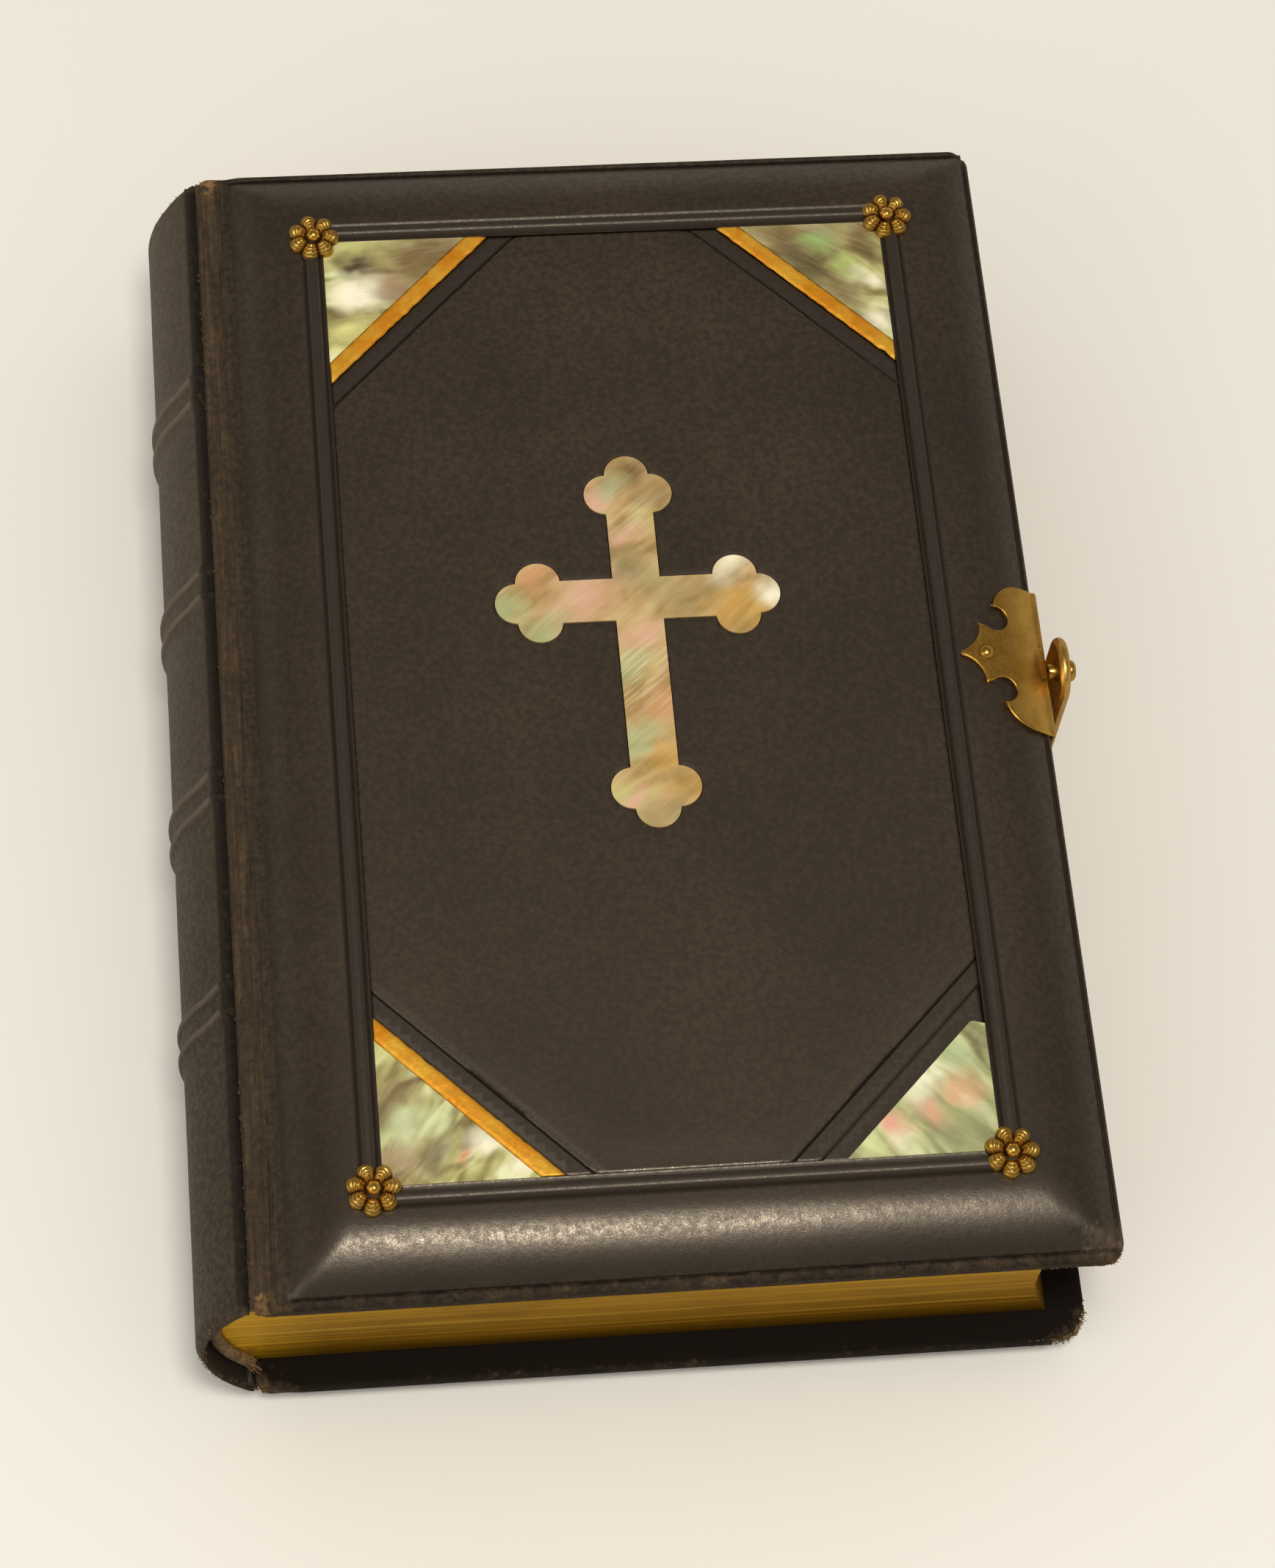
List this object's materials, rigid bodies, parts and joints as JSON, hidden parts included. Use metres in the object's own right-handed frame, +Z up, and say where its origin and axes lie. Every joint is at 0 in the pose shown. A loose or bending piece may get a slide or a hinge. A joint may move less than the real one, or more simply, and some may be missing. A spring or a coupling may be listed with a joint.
{
  "type": "hymnal",
  "caption": "Closed hymnal in padded dark leather with an inlaid pearl cross, pearl corners, brass rosettes and a hinged clasp; covers, leaves and hasp turn.",
  "frame": {"origin": "on the flat outer face of the back cover that the closed book lies on, under the middle of the bead frame", "axes": "+X from the spine to the fore edge, +Y from the tail to the head, +Z up through the closed book to the front cover"},
  "size_m": [0.1315, 0.18, 0.045],
  "materials": {
    "leather": "satin, worn at the joints and corners",
    "pasteboard": "raw",
    "endpaper": "matte",
    "leaves": "gilt edges",
    "endband": "worn thread",
    "pearl": "polished mother-of-pearl",
    "gilt": "bright gilt",
    "brass_cast": "polished, dark in the hollows",
    "brass_sheet": "aged satin",
    "brass_turned": "aged, polished on top"
  },
  "bodies": {
    "back_cover": {"back_board": "pasteboard", "back_leather": "leather", "back_pastedown": "endpaper", "back_plate": "brass_sheet", "back_rivet_head": "brass_turned", "back_rivet_tail": "brass_turned", "hinge_pin": "brass_turned"},
    "leaf_block": {"leaves": "leaves", "spine_leather": "leather", "headband": "endband", "tailband": "endband"},
    "front_cover": {"front_board": "pasteboard", "front_leather": "leather", "front_pastedown": "endpaper", "pearl_cross": "pearl", "pearl_head_joint": "pearl", "pearl_head_fore": "pearl", "pearl_tail_joint": "pearl", "pearl_tail_fore": "pearl", "gilt_head_joint": "gilt", "gilt_head_fore": "gilt", "gilt_tail_joint": "gilt", "rosette_head_joint": "brass_cast", "rosette_head_fore": "brass_cast", "rosette_tail_joint": "brass_cast", "rosette_tail_fore": "brass_cast", "front_plate": "brass_sheet", "front_rivet": "brass_turned"},
    "clasp_hasp": {"hasp": "brass_sheet", "hasp_stud": "brass_turned"}
  },
  "joints": [
    {"name": "back_cover_joint", "type": "hinge", "parent": "back_cover", "child": "leaf_block", "pos_m": [-0.061, 0, 0.0037], "axis": [0, -1, 0], "range_deg": [0, 75]},
    {"name": "front_cover_joint", "type": "hinge", "parent": "leaf_block", "child": "front_cover", "pos_m": [-0.061, 0, 0.0393], "axis": [0, -1, 0], "range_deg": [0, 180]},
    {"name": "hasp_hinge", "type": "hinge", "parent": "back_cover", "child": "clasp_hasp", "pos_m": [0.06065, 0.0007, 0.0058], "axis": [0, 1, 0], "range_deg": [-2.1, 95]}
  ]
}
